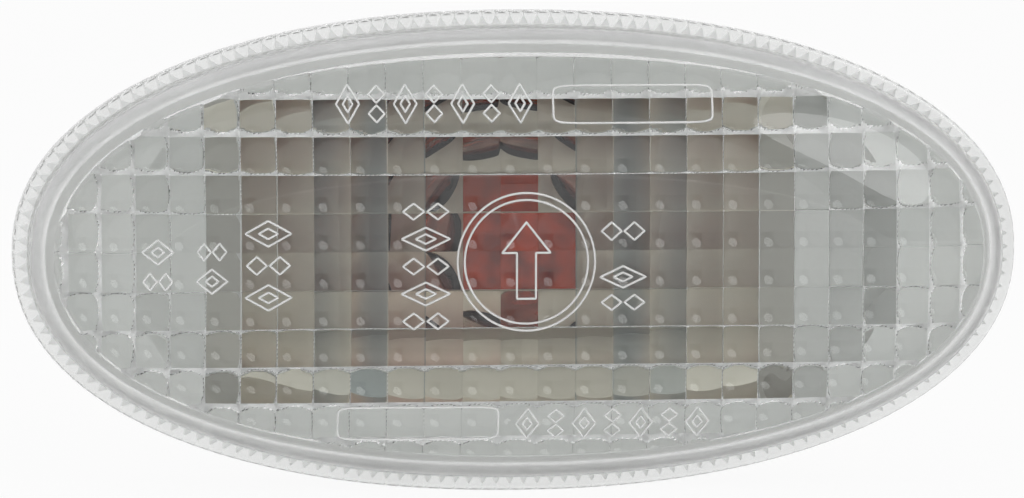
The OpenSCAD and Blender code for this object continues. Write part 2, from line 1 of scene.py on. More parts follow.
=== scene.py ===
# %% [markdown]
# # A side repeater lamp
# The lamp sits in a car's front wing. A clear oval lens is welded to a pale plastic tub, and a metallised
# trough and an amber bulb lie behind it. The CAD model has every solid already. This lesson gives the
# lamp its looks: it makes the lens again with finer pillows, steps and flutes, winds the bulb's coil, and
# gives every part a finish.

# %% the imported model
import math
import bpy
import numpy as np
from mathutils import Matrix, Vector


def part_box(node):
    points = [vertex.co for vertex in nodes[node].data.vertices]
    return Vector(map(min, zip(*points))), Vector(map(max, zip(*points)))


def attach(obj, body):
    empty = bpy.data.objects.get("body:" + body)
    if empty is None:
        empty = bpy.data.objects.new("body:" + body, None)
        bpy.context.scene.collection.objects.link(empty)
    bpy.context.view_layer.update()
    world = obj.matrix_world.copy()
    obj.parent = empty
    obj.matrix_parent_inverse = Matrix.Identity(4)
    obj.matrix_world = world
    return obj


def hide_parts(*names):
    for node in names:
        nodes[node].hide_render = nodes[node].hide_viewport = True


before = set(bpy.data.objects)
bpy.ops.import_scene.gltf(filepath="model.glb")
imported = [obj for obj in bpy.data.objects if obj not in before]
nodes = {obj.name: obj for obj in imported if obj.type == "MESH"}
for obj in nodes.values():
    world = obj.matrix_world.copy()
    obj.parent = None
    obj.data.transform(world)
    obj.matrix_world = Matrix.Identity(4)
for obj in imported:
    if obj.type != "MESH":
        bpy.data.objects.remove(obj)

scene = bpy.context.scene
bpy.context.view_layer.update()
print("nodes:", sorted(nodes))

# %% [markdown]
# ## The camera
# The photograph looks at the lens almost straight on, a few degrees from the left and from above. A long
# lens from half a metre gives the same flat perspective. The camera comes first, because every later
# choice is judged through it.

# %% camera
def direction(azimuth, elevation):
    """Unit vector from the lamp to the viewer: azimuth 0 is straight in front of the lens, which faces -Y."""
    a, e = math.radians(azimuth), math.radians(elevation)
    return np.array([math.sin(a) * math.cos(e), -math.cos(a) * math.cos(e), math.sin(e)])

# Metres: the point that the camera looks at, how far off it stands, and the width that it sees there
aim = np.array([-0.00047, -0.0042, 0.00018])
distance, frame_width = 0.5, 0.08125
view_from = direction(-6.0, 4.6)

camera = bpy.data.objects.new("camera", bpy.data.cameras.new("camera"))
scene.collection.objects.link(camera)
camera.data.sensor_width = 36.0
camera.data.lens = camera.data.sensor_width * distance / frame_width
camera.data.clip_start = 0.01
camera.location = aim + view_from * distance
camera.rotation_euler = Vector(-view_from).to_track_quat("-Z", "Y").to_euler()
scene.camera = camera
print("camera's focal length in mm:", round(camera.data.lens, 1))

# %% [markdown]
# ## Light and background
# A clear part is drawn by what it reflects and bends, so the light is soft and even: a pale world all round
# and two round lamps. The background is white because the camera sees a world and a floor of strength 1,
# while the lamp itself is lit at a plain level. Mirrors and glass see that world too, but it grows darker
# behind the camera's place, as in a room with its white screens on one side. Without that, the pillows and
# the trough wash out to one even white. The world's dark side stays where it is when the view changes.

# %% node helpers
def plug(tree, socket, value):
    """Links another node's output to a socket, or sets the socket to a plain value."""
    if isinstance(value, bpy.types.NodeSocket):
        tree.links.new(value, socket)
    else:
        socket.default_value = value

def arithmetic(tree, operation, *values):
    """One step of arithmetic on sockets or plain numbers."""
    step = tree.nodes.new("ShaderNodeMath")
    step.operation = operation
    for socket, value in zip(step.inputs, values):
        plug(tree, socket, value)
    return step.outputs[0]

def brought_between(tree, value, old, new=(0.0, 1.0), curve="LINEAR"):
    """A value that runs over the old span, brought to the new span."""
    span = tree.nodes.new("ShaderNodeMapRange")
    span.interpolation_type = curve
    for label, given in zip(("Value", "From Min", "From Max", "To Min", "To Max"), (value, *old, *new)):
        plug(tree, span.inputs[label], given)
    return span.outputs["Result"]

def mixed_shader(tree, factor, first, second):
    """Two shaders mixed by a factor, in the material or the world itself."""
    mix = tree.nodes.new("ShaderNodeMixShader")
    for socket, value in zip(mix.inputs, (factor, first, second)):
        tree.links.new(value, socket)
    return mix.outputs[0]

def seen_directly(tree):
    """1 where a ray comes from the camera, a mirror or glass, and 0 where it only brings light."""
    path = tree.nodes.new("ShaderNodeLightPath")
    first = arithmetic(tree, "MAXIMUM", path.outputs["Is Camera Ray"], path.outputs["Is Glossy Ray"])
    return arithmetic(tree, "MAXIMUM", first, path.outputs["Is Transmission Ray"])

# %% world
scene.view_settings.view_transform = "Standard"
WORLD_LIGHT = 0.66
# The seen world rises from DARKEST to 1 over this span of a direction's Y, which is -1 behind the camera
DARK_SPAN, DARKEST = (-0.95, -0.3), 0.12

def white_world(tree, strength):
    """A white background of one strength."""
    made = tree.nodes.new("ShaderNodeBackground")
    made.inputs["Color"].default_value = (1.0, 1.0, 1.0, 1.0)
    plug(tree, made.inputs["Strength"], strength)
    return made.outputs[0]

world = bpy.data.worlds.new("studio")
world.use_nodes = True
scene.world = world
tree = world.node_tree
tree.nodes.clear()
towards = tree.nodes.new("ShaderNodeTexCoord")
split = tree.nodes.new("ShaderNodeSeparateXYZ")
tree.links.new(towards.outputs["Generated"], split.inputs[0])
seen = brought_between(tree, split.outputs["Y"], DARK_SPAN, (DARKEST, 1.0), "SMOOTHSTEP")
studio = mixed_shader(tree, seen_directly(tree), white_world(tree, WORLD_LIGHT), white_world(tree, seen))
tree.links.new(studio, tree.nodes.new("ShaderNodeOutputWorld").inputs["Surface"])
print("world: lights at", WORLD_LIGHT, "and is seen at", DARKEST, "to 1")

# %% soft lamps
def soft_lamp(name, azimuth, elevation, away, size, power):
    """A round lamp, size metres across, that points at the lens from away metres."""
    place = direction(azimuth, elevation) * away
    data = bpy.data.lights.new(name, "AREA")
    data.shape = "DISK"
    data.size = size
    data.energy = power
    lamp = bpy.data.objects.new(name, data)
    scene.collection.objects.link(lamp)
    lamp.location = Vector(place)
    lamp.rotation_euler = (Vector(aim) - Vector(place)).to_track_quat("-Z", "Y").to_euler()
    print(name, "at", np.round(place, 2), "with", power, "W")

soft_lamp("key", 31, 25, away=1.0, size=0.42, power=1.35)
soft_lamp("fill", -14, 10, away=1.2, size=1.3, power=3.1)

# %% [markdown]
# ## A few helpers
# Every new surface is worked out in the lamp's front view, in millimetres: x to the right, y up and level
# towards the viewer. Two steps bring it into Blender: triangles from a grid of points, and a mesh in metres
# in the CAD model's own frame, where the viewer looks along +Y.

# %% surfaces from numbers
def grid_triangles(rows, columns, closed):
    """Triangles of a grid of points, row by row. closed joins each row's end to its start."""
    r, c = np.meshgrid(np.arange(rows - 1), np.arange(columns if closed else columns - 1), indexing="ij")
    after = (c + 1) % columns
    a, b = r * columns + c, r * columns + after
    d, e = (r + 1) * columns + c, (r + 1) * columns + after
    quads = np.stack([a, b, e, d], -1).reshape(-1, 4)
    return np.concatenate([quads[:, [0, 1, 2]], quads[:, [0, 2, 3]]])

def welded(points, triangles, patches, digits=4):
    """The same surface with points that fall together made one, without the triangles that vanish."""
    keys, where = np.unique(np.round(points, digits), axis=0, return_inverse=True)
    triangles = where.reshape(-1)[triangles]
    a, b, c = triangles.T
    kept = (a != b) & (b != c) & (c != a)
    return keys, triangles[kept], patches[kept]

def sharp_pairs(points, triangles, patches, within, between):
    """Edges where two triangles turn by more than a limit in degrees: one within a patch, one between two."""
    corner = points[triangles]
    normal = np.cross(corner[:, 1] - corner[:, 0], corner[:, 2] - corner[:, 0])
    normal /= np.maximum(np.linalg.norm(normal, axis=1, keepdims=True), 1e-12)
    pairs = np.concatenate([triangles[:, [0, 1]], triangles[:, [1, 2]], triangles[:, [2, 0]]])
    pairs = np.sort(pairs, axis=1)
    owner = np.tile(np.arange(len(triangles)), 3)
    key = pairs[:, 0] * len(points) + pairs[:, 1]
    order = np.argsort(key, kind="stable")
    key, owner = key[order], owner[order]
    same = np.nonzero(key[1:] == key[:-1])[0]
    one, two = owner[same], owner[same + 1]
    turn = np.degrees(np.arccos(np.clip((normal[one] * normal[two]).sum(1), -1, 1)))
    limit = np.where(patches[one] == patches[two], within, between)
    return key[same][turn > limit]

def piece(name, points, triangles, patches=None, within=180, between=180):
    """A mesh object from points in the front view, in mm: (x, y, level) becomes (x, -level, y) in metres."""
    patches = np.zeros(len(triangles), int) if patches is None else patches
    placed = np.stack([points[:, 0], -points[:, 2], points[:, 1]], -1) / 1000
    mesh = bpy.data.meshes.new(name)
    mesh.from_pydata(placed.tolist(), [], triangles.tolist())
    mesh.polygons.foreach_set("use_smooth", np.ones(len(triangles), bool))
    sharp = sharp_pairs(points, triangles, patches, within, between)
    ends = np.empty(len(mesh.edges) * 2, np.int32)
    mesh.edges.foreach_get("vertices", ends)
    ends = np.sort(ends.reshape(-1, 2), axis=1).astype(np.int64)
    marks = mesh.attributes.new("sharp_edge", "BOOLEAN", "EDGE")
    marks.data.foreach_set("value", np.isin(ends[:, 0] * len(points) + ends[:, 1], sharp))
    mesh.update()
    made = bpy.data.objects.new(name, mesh)
    scene.collection.objects.link(made)
    print(name, "has", len(triangles), "triangles and", len(sharp), "sharp edges")
    return made

# %% [markdown]
# ## The lens's oval and its dome
# The outline is an oval a little squarer than an ellipse. The dome's height depends on two things: how far a
# point lies inside the edge of the pillow field, because the margin curves down, and a slight crown over the
# whole length. Both are plain formulas, so the outer face, the pillows and the wall can all ask them.

# %% oval and dome
HALF_LENGTH, HALF_HEIGHT, POWER = 40.0, 19.1, 2.17
FIELD_INSET = 3.6
FIELD_A, FIELD_B = HALF_LENGTH - FIELD_INSET, HALF_HEIGHT - FIELD_INSET
BEAD_HEIGHT = 0.12
LENS_FRONT = 11.6
CROWN = LENS_FRONT - BEAD_HEIGHT
EDGE_DROP, EDGE_BLEND, SAG = 1.9, 9.0, 0.4

def oval(inset, angle):
    """Points of the outline drawn in by inset: half length times cosine (or half height times sine) of the
    angle, raised to the power 2 / POWER with its sign kept."""
    c, s = np.cos(angle), np.sin(angle)
    return np.stack([(HALF_LENGTH - inset) * np.sign(c) * np.abs(c) ** (2 / POWER),
                     (HALF_HEIGHT - inset) * np.sign(s) * np.abs(s) ** (2 / POWER)], -1)

def even_angles(count):
    """Angles that space points evenly along the oval, found from the running length of fine chords."""
    fine = np.linspace(0, 2 * np.pi, 7201)
    run = np.concatenate([[0], np.cumsum(np.linalg.norm(np.diff(oval(0, fine), axis=0), axis=1))])
    return np.interp(np.arange(count) / count * run[-1], run, fine)

def oval_value(x, y, a, b):
    """Below 1 inside the oval with half lengths a and b, and above 1 outside it."""
    return (np.abs(x) / a) ** POWER + (np.abs(y) / b) ** POWER

# How far outside the field's edge and how near its middle a point may lie, and how often the span is halved
FARTHEST_OUT, FROM_MIDDLE, HALVINGS = 6.0, 0.5, 24

def inset_at(x, y):
    """How far a point lies inside the field's edge, found by halving the span that it can lie in."""
    low, high = np.full(np.shape(x), -FARTHEST_OUT), np.full(np.shape(x), FIELD_B - FROM_MIDDLE)
    for _ in range(HALVINGS):
        middle = (low + high) / 2
        inside = oval_value(x, y, FIELD_A - middle, FIELD_B - middle) < 1
        low, high = np.where(inside, middle, low), np.where(inside, high, middle)
    return (low + high) / 2

def dome(x, y):
    """Crown height, less a square curve over the margin, less a slight parabola over the whole face."""
    margin = np.maximum(0, 1 - inset_at(x, y) / EDGE_BLEND)
    return CROWN - EDGE_DROP * margin ** 2 - SAG * ((x / FIELD_A) ** 2 + (y / FIELD_B) ** 2)

def drawn_in(x, y):
    """Points outside the field brought straight in onto its edge, and which ones they were."""
    value = oval_value(x, y, FIELD_A, FIELD_B)
    outside = value > 1 - 1e-9
    scale = np.where(outside, np.maximum(value, 1e-9) ** (-1 / POWER), 1.0)
    return x * scale, y * scale, outside

middle_and_end = np.array([0.0, FIELD_A])
print("dome at the middle, and at the field's end:", dome(middle_and_end, np.zeros(2)).round(2))

# %% the lens's outer face
# A fine square grid, with the points past the field's edge drawn in onto it.
FACE_STEP = 0.4

def face_lines(half):
    """Lines a step apart over the field, and one step past its edge on both sides."""
    count = round(half / FACE_STEP) + 1
    return np.arange(-count, count + 1) * FACE_STEP

grid_x, grid_y = np.meshgrid(face_lines(FIELD_A), face_lines(FIELD_B))
face_x, face_y, face_out = drawn_in(grid_x, grid_y)
face_points = np.stack([face_x, face_y, dome(face_x, face_y)], -1).reshape(-1, 3)
face_triangles = grid_triangles(*grid_x.shape, closed=False)
face_out = face_out.reshape(-1)
face_triangles = face_triangles[~face_out[face_triangles].all(1)]
print("outer face:", len(face_triangles), "triangles")

# %% [markdown]
# ## The pillows
# The lens spreads the bulb's light with square pillows on its inner face. Each one is a piece of a ball, and
# each stands at the level of the dome over its middle, so towards the edge they go down in steps. The lines
# between them draw together a little towards the ends. A step's side leans, because a moulded lens has to
# leave its tool, and it leans most in the corners: these sides stand for the white crescents in the
# photograph. The height of every point is the highest of its own ball and of the sides that run down from
# its eight neighbours. Each pillow is a small grid, finest near its edges.

# %% pillows
PITCH, BALL, THICK = 3.0, 5.5, 1.8
SIDE_FALL, CORNER_FALL, CORNER_REACH = 4.5, 1.15, 1.0
# How far from its middle a ball is followed, and how far over it a point has to be to count as on a side
BALL_REACH, LEAST_SIDE = 2.5, 0.07

def drawn_together(n, pitch, shift, squeeze):
    """Lines between pillows, counted by n from the middle: shift + pitch * (n - squeeze * n cubed)."""
    return shift + pitch * (n - squeeze * n ** 3)

edge_x = drawn_together(np.arange(-13.5, 14), pitch=2.956, shift=-0.52, squeeze=0.00033)
edge_y = drawn_together(np.arange(-6, 6), pitch=PITCH, shift=0.5, squeeze=0.00133)
middle_x, middle_y = (edge_x[1:] + edge_x[:-1]) / 2, (edge_y[1:] + edge_y[:-1]) / 2
# The lines across a pillow: mm from its edge, and then shares of its width
from_edge = np.array([0, 0.07, 0.15, 0.25, 0.38, 0.55, 0.8, 1.12]) / PITCH
shares = np.concatenate([from_edge, [0.5], 1 - from_edge[::-1]])
SPLIT = len(shares) - 1

def pillow_lines(edges, reach):
    """The coordinates of the lines across each pillow. The outermost pillows reach the field's edge."""
    low, high = edges[:-1].copy(), edges[1:].copy()
    low[0], high[-1] = min(low[0], -reach), max(high[-1], reach)
    return low[:, None] + (high - low)[:, None] * shares

lines_x, lines_y = pillow_lines(edge_x, FIELD_A), pillow_lines(edge_y, FIELD_B)
shape = (len(middle_x), len(middle_y), SPLIT + 1, SPLIT + 1)
raw_x = np.broadcast_to(lines_x[:, None, :, None], shape)
raw_y = np.broadcast_to(lines_y[None, :, None, :], shape)
pillow_x, pillow_y, pillow_out = drawn_in(raw_x, raw_y)
level = dome(*np.meshgrid(middle_x, middle_y, indexing="ij")) + BEAD_HEIGHT - THICK

def ball_height(i, j, x, y):
    """The pillow's own ball: its level less the ball's bulge over the square's corners."""
    off_x = np.clip(x - middle_x[i], -BALL_REACH, BALL_REACH)
    off_y = np.clip(y - middle_y[j], -BALL_REACH, BALL_REACH)
    bulge = np.sqrt(BALL ** 2 - off_x ** 2 - off_y ** 2) - math.sqrt(BALL ** 2 - PITCH ** 2 / 2)
    return level[i, j] - bulge

i, j = np.meshgrid(np.arange(shape[0]), np.arange(shape[1]), indexing="ij")
i, j = i[:, :, None, None], j[:, :, None, None]

def side_fall(x, y):
    """How steep a step's side is: SIDE_FALL along the edges, and less near the corners, by the square of the
    distance from the nearest corner."""
    to_x = np.abs(x[..., None] - edge_x).min(-1)
    to_y = np.abs(y[..., None] - edge_y).min(-1)
    near = np.clip(np.hypot(to_x, to_y) / CORNER_REACH, 0, 1) ** 2
    return CORNER_FALL + (SIDE_FALL - CORNER_FALL) * near

def stepped_height(x, y):
    """The highest of nine forms: each a ball over its own square, with a side that falls past its edge."""
    height, fall = np.full(shape, -np.inf), side_fall(x, y)
    for di in (-1, 0, 1):
        for dj in (-1, 0, 1):
            ni, nj = np.clip(i + di, 0, shape[0] - 1), np.clip(j + dj, 0, shape[1] - 1)
            near_x = np.clip(x, lines_x[ni, 0], lines_x[ni, -1])
            near_y = np.clip(y, lines_y[nj, 0], lines_y[nj, -1])
            past = np.hypot(x - near_x, y - near_y)
            height = np.maximum(height, ball_height(ni, nj, near_x, near_y) - fall * past)
    return height

pillow_z = stepped_height(pillow_x, pillow_y)
on_side = (pillow_z - ball_height(i, j, pillow_x, pillow_y) > LEAST_SIDE).reshape(-1)
pillow_points = np.stack([pillow_x, pillow_y, pillow_z], -1).reshape(-1, 3)
pillow_out = pillow_out.reshape(-1)
ids = np.arange(pillow_out.size).reshape(shape)

# The pillows look to the rear, so their grids run the other way round
corners = [ids[:, :, :-1, :-1], ids[:, :, :-1, 1:], ids[:, :, 1:, 1:], ids[:, :, 1:, :-1]]
quads = np.stack(corners, -1).reshape(-1, 4)
pillow_triangles = np.concatenate([quads[:, [0, 1, 2]], quads[:, [0, 2, 3]]])
pillow_triangles = pillow_triangles[~pillow_out[pillow_triangles].all(1)]

# Each pillow is a patch of its own, and its triangles on a leaning side count on from SIDES
SIDES = 1000
pillow_cells = pillow_triangles[:, 0] // (SPLIT + 1) ** 2
pillow_cells += SIDES * (on_side[pillow_triangles].sum(1) >= 2)
print("pillow field:", len(pillow_triangles), "triangles, levels", level.min(), "to", level.max())

# %% [markdown]
# ## Wall, rim and fluted skirt
# Around the field the lens runs down in a smooth wall to a flat rim, and a skirt with fine flutes on its
# inside covers the tub's flange. All of that is one profile carried round the oval. The profile starts
# under the pillows, goes down the inside, round the skirt and up the outside, so the surface faces outwards
# all the way.

# %% profile round the oval
FLUTES, FLUTE_FOOT, FLUTE_HEIGHT = 174, 1.1, 0.65
AROUND = 6 * FLUTES
angles = even_angles(AROUND)
flute = (0.5 + 0.5 * np.cos(2 * np.pi * FLUTES * np.arange(AROUND) / AROUND)) ** 2
RIM_FRONT, FLANGE_FRONT, SKIRT_MIDDLE, SKIRT_REAR = 4.2, 2.8, 2.6, 1.5
RIM_WIDTH, RIM_ROUND, WALL_INNER = 1.1, 0.4, 2.5
WALL_TOP = CROWN - EDGE_DROP - SAG
# The lens reaches WELD into the flange, and its inner wall starts WALL_START under the pillows' edge
WELD, WALL_START = 0.03, 0.6
LEDGE = FLANGE_FRONT - WELD
WELL = WALL_TOP + BEAD_HEIGHT - THICK - WALL_START - FLANGE_FRONT + WELD
# How far the outer wall turns, in degrees, and the shares of its width and height that it takes up
SHOULDER, WALL_RUN, WALL_RISE = 70, 0.93, 0.97

def inner_wall(count):
    """From the pillows' edge down to the flange, first outwards and then ever more steeply down: the way out
    is the sine of a quarter turn to the power 0.8, and the height 1 less the way along to the power 1.6."""
    t = np.linspace(0, 1, count)
    return np.stack([FIELD_INSET - (FIELD_INSET - WALL_INNER) * np.sin(t * np.pi / 2) ** 0.8,
                     LEDGE + WELL * (1 - t ** 1.6)], -1)

def outer_wall(count):
    """The first SHOULDER degrees of an oval's quarter, from the rim up to the shoulder: the way in is 1 less
    the cosine of the turn, and the way up is its sine."""
    turn = np.radians(np.linspace(0, SHOULDER, count + 1)[1:])
    last = math.radians(SHOULDER)
    run, rise = (FIELD_INSET - RIM_WIDTH) * WALL_RUN, (WALL_TOP - RIM_FRONT) * WALL_RISE
    return np.stack([RIM_WIDTH + run * (1 - np.cos(turn)) / (1 - math.cos(last)),
                     RIM_FRONT + rise * np.sin(turn) / math.sin(last)], -1)

# %% the rings
turn = np.linspace(0, np.pi / 2, 5)
rim_edge = np.stack([RIM_ROUND * (1 - np.cos(turn)), RIM_FRONT - RIM_ROUND * (1 - np.sin(turn))], -1)
inside = inner_wall(8)
outside = np.concatenate([[[0, SKIRT_REAR], [0, SKIRT_MIDDLE]], rim_edge, [[RIM_WIDTH, RIM_FRONT]],
                          outer_wall(9)])
insets = np.concatenate([np.tile(inside[:, :1], AROUND), np.full((1, AROUND), FLUTE_FOOT),
                         np.tile(FLUTE_FOOT - FLUTE_HEIGHT * flute, (2, 1)), np.tile(outside[:, :1], AROUND)])
levels = np.concatenate([inside[:, 1], [LEDGE, LEDGE, SKIRT_REAR], outside[:, 1]])
ring_x, ring_y = np.moveaxis(oval(insets, angles), -1, 0)
ring_points = np.stack([ring_x, ring_y, np.broadcast_to(levels[:, None], ring_x.shape)], -1).reshape(-1, 3)
ring_triangles = grid_triangles(len(levels), AROUND, closed=True)
ring_row = np.tile(np.repeat(np.arange(len(levels) - 1), AROUND), 2)
print("wall, rim and skirt:", len(ring_triangles), "triangles in", len(levels), "rings")

# %% [markdown]
# ## Sewing the sheets together
# The field's edge and the rings have different numbers of points. Both are sorted by their angle, and each
# edge of one row gets a triangle with a point of the other row: the last one that comes before the edge's
# end. The sheets then make one closed skin, and light bends in it as in a real moulding.

# %% stitching
HAIR = 0.003

def angle_about(x, y):
    """A point's angle about the middle. The count starts a hair off the long axis, where no point lies."""
    return np.arctan2(y - HAIR * x, x + HAIR * y)

def edge_order(points, out, triangles):
    """The points on the field's edge in order of their angle, with one for each place."""
    used = np.unique(triangles)
    used = used[out[used]]
    angle = angle_about(points[used, 0], points[used, 1])
    _, first = np.unique(np.round(angle, 7), return_index=True)
    return used[first]

def stitched(points, outer, inner):
    """Triangles between two closed rows of points, both in order of angle."""
    angle = angle_about(points[:, 0], points[:, 1])
    outer_angle, inner_angle = np.maximum.accumulate(angle[outer]), np.maximum.accumulate(angle[inner])
    outer_next, inner_next = np.roll(outer, -1), np.roll(inner, -1)
    near_inner = inner[np.searchsorted(inner_angle, np.roll(outer_angle, -1), "right") - 1]
    near_outer = outer[np.searchsorted(outer_angle, np.roll(inner_angle, -1), "left") - 1]
    return np.concatenate([np.stack([outer, outer_next, near_inner], -1),
                           np.stack([near_outer, inner_next, inner], -1)])

first_ring, first_face = len(pillow_points), len(pillow_points) + len(ring_points)
lens_points = np.concatenate([pillow_points, ring_points, face_points])
field_edge = edge_order(pillow_points, pillow_out, pillow_triangles)
face_edge = edge_order(face_points, face_out, face_triangles) + first_face
by_angle = np.argsort(angle_about(ring_x[0], ring_y[0]), kind="stable")
low_ring = first_ring + by_angle
high_ring = first_ring + (len(levels) - 1) * AROUND + by_angle
field_sewing = stitched(lens_points, low_ring, field_edge)[:, ::-1]
face_sewing = stitched(lens_points, high_ring, face_edge)
lens_triangles = np.concatenate([pillow_triangles, ring_triangles + first_ring, face_triangles + first_face,
                                 field_sewing, face_sewing])
FACE, SEWING, WALL, TEETH = -1, -2, -3, -4
ring_patches = np.where(ring_row == len(inside), TEETH, WALL)
lens_patches = np.concatenate([pillow_cells, ring_patches, np.repeat([FACE, SEWING, FACE],
    [len(face_triangles), len(field_sewing), len(face_sewing)])])
lens_points, lens_triangles, lens_patches = welded(lens_points, lens_triangles, lens_patches)
lens = piece("clear_lens", lens_points, lens_triangles, lens_patches, within=62, between=8)
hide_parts("lens")
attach(lens, "lamp_body")

# %% [markdown]
# ## Raised marks
# The real face carries small raised marks. Here they are plain ones that say nothing: a ring with an arrow
# in it, two bare plates, and rows of lozenges. What the eye sees of such a mark is the bright line along
# each of its sides, so every outline is a fine bead that lies half sunk in the dome.

# %% outlines
LOZENGE, OVAL, PLATE = 1, 2, 9
BEAD_HALF_WIDTH = 0.09

def rounded(x, y, half_width, half_height, power, count=72):
    """A closed outline about (x, y): cosine and sine of the angle to the power 2 / power, with their signs. A
    power of 1 gives a lozenge, 2 an oval and more a square with round corners."""
    t = np.linspace(0, 2 * np.pi, count, endpoint=False) + 1e-3
    c, s = np.cos(t), np.sin(t)
    return np.stack([x + half_width * np.sign(c) * np.abs(c) ** (2 / power),
                     y + half_height * np.sign(s) * np.abs(s) ** (2 / power)], -1)

def evened(path, spacing=0.09):
    """The same closed outline with points spaced evenly along its running length."""
    looped = np.concatenate([path, path[:1]])
    run = np.concatenate([[0], np.cumsum(np.linalg.norm(np.diff(looped, axis=0), axis=1))])
    at = np.linspace(0, run[-1], max(24, int(run[-1] / spacing)), endpoint=False)
    return np.stack([np.interp(at, run, looped[:, 0]), np.interp(at, run, looped[:, 1])], -1)

def bead(path, half_width, around_count=8):
    """A closed tube along an outline on the dome: the offset to the side is the half width times cosine, and
    the offset in height is the bead's height times sine."""
    path = evened(path)
    along = np.roll(path, -1, axis=0) - np.roll(path, 1, axis=0)
    along /= np.maximum(np.linalg.norm(along, axis=1, keepdims=True), 1e-9)
    side = np.stack([along[:, 1], -along[:, 0]], -1)
    turn = np.linspace(0, 2 * np.pi, around_count, endpoint=False)
    ring = path[:, None] + half_width * np.cos(turn)[None, :, None] * side[:, None]
    height = dome(path[:, 0], path[:, 1])[:, None] + BEAD_HEIGHT * np.sin(turn)
    points = np.concatenate([ring, height[..., None]], -1).reshape(-1, 3)
    n = len(path)
    closed_rows = np.arange(n * around_count).reshape(n, around_count)
    closed_rows = np.concatenate([closed_rows, closed_rows[:1]])
    return points, closed_rows.reshape(-1)[grid_triangles(n + 1, around_count, closed=True)]

# %% where the marks stand
NESTED, PAIR = 0, 1
# An inner lozenge's share of the outer one, and the shares of its half and its height that a small one has
INNER, NARROW, SHORT = 0.42, 0.44, 0.7

def glyph(x, y, half_width, half_height, kind):
    """One mark: two lozenges, one inside the other, or two small ones side by side along its longer half.
    The kinds take turns, so an odd kind is a pair."""
    if kind % 2 == NESTED:
        return [rounded(x, y, half_width * k, half_height * k, LOZENGE) for k in (1, INNER)]
    if half_width > half_height:
        off_x, off_y, small_width, small_height = half_width / 2, 0, half_width * NARROW, half_height * SHORT
    else:
        off_x, off_y, small_width, small_height = 0, half_height / 2, half_width * SHORT, half_height * NARROW
    return [rounded(x + s * off_x, y + s * off_y, small_width, small_height, LOZENGE) for s in (-1, 1)]

ARROW = np.array([[0, 3.1], [1.9, 0.7], [0.75, 0.7], [0.75, -2.9], [-0.75, -2.9], [-0.75, 0.7], [-1.9, 0.7]])
RING_X, RING_Y = -0.1, -0.25
outlines = [rounded(RING_X, RING_Y, r, r, OVAL) for r in (4.85, 5.4)] + [ARROW + [RING_X, RING_Y]]
outlines += [rounded(-8.5, -13.0, 6.3, 1.3, PLATE), rounded(8.4, 12.0, 6.3, 1.45, PLATE)]
for k in range(7):
    outlines += glyph(0.1 + 2.25 * k, -13.1, 0.9, 1.2, k)
    outlines += glyph(-0.5 - 2.25 * k, 12.1, 0.9, 1.5, k)
for k in range(5):
    outlines += glyph(-8.0, 3.75 - 2.15 * k, 1.9, 0.9, k + 1)
for mark in [
        (7.5, 2.1, 1.8, 1.0, PAIR), (7.5, -1.5, 1.8, 0.85, NESTED), (7.5, -3.5, 1.8, 0.85, PAIR),
        (-20.3, 2.1, 1.8, 1.0, NESTED), (-20.3, -0.4, 1.8, 1.0, PAIR), (-20.3, -2.9, 1.8, 1.0, NESTED),
        (-24.7, 0.7, 1.2, 0.95, PAIR), (-24.7, -1.6, 1.2, 0.95, NESTED),
        (-28.9, 0.7, 1.2, 0.95, NESTED), (-28.9, -1.6, 1.2, 0.95, PAIR)]:
    outlines += glyph(*mark)

beads = [bead(path, BEAD_HALF_WIDTH) for path in outlines]
starts = np.cumsum([0] + [len(points) for points, _ in beads[:-1]])
marks = piece("raised_marks", np.concatenate([points for points, _ in beads]),
              np.concatenate([triangles + start for (_, triangles), start in zip(beads, starts)]))
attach(marks, "lamp_body")

# %% [markdown]
# ## The bulb's coil
# The filament is a fine wire wound into a coil between the two lead wires. A tube carried along a helix
# gives it: each ring of the tube stands square to the wire's own direction.

# %% coil
def coil(start, end, radius, wire, turns, around=8, steps=24):
    """A tube along a helix from start to end: the centre line turns round the straight axis, and each ring
    lies in the plane of the wire's normal and binormal. Both ends are closed with a point."""
    start, end = np.array(start, float), np.array(end, float)
    axis = (end - start) / np.linalg.norm(end - start)
    side = np.cross(axis, [0, 1, 0])
    side /= np.linalg.norm(side)
    up = np.cross(axis, side)
    t = np.linspace(0, 1, turns * steps + 1)[:, None]
    spin = 2 * np.pi * turns * t
    reach = radius * np.minimum(1, np.minimum(t, 1 - t) * turns * 2)
    line = start + (end - start) * t + reach * (np.cos(spin) * side + np.sin(spin) * up)
    along = np.gradient(line, axis=0)
    along /= np.linalg.norm(along, axis=1, keepdims=True)
    normal = np.cross(along, axis)
    normal /= np.maximum(np.linalg.norm(normal, axis=1, keepdims=True), 1e-9)
    binormal = np.cross(along, normal)
    angle = np.linspace(0, 2 * np.pi, around, endpoint=False)
    ring = np.cos(angle)[None, :, None] * normal[:, None] + np.sin(angle)[None, :, None] * binormal[:, None]
    points = np.concatenate([(line[:, None] + wire * ring).reshape(-1, 3), line[:1], line[-1:]])
    sides = grid_triangles(len(line), around, closed=True)
    n, k = len(line) * around, np.arange(around)
    after = (k + 1) % around
    caps = np.concatenate([np.stack([after, k, np.full(around, n)], -1),
                           np.stack([n - around + k, n - around + after, np.full(around, n + 1)], -1)])
    return points, np.concatenate([sides, caps])

low, high = np.array(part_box("bulb_filament")) * 1000
centre = (low + high) / 2
ends = [(low[0], centre[2], -centre[1]), (high[0], centre[2], -centre[1])]
filament = piece("coiled_filament", *coil(*ends, radius=0.2, wire=0.045, turns=14))
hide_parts("bulb_filament")
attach(filament, "bulb_carrier")

# %% [markdown]
# ## Shared surface effects
# Two effects come back in most finishes, so each is a node group: a fine moulded grain, and a slow mottle
# that makes a colour or a gloss uneven. They read Object coordinates, which here are metres in the lamp's
# own frame, so the pattern keeps its real size and stays put when the lamp turns.

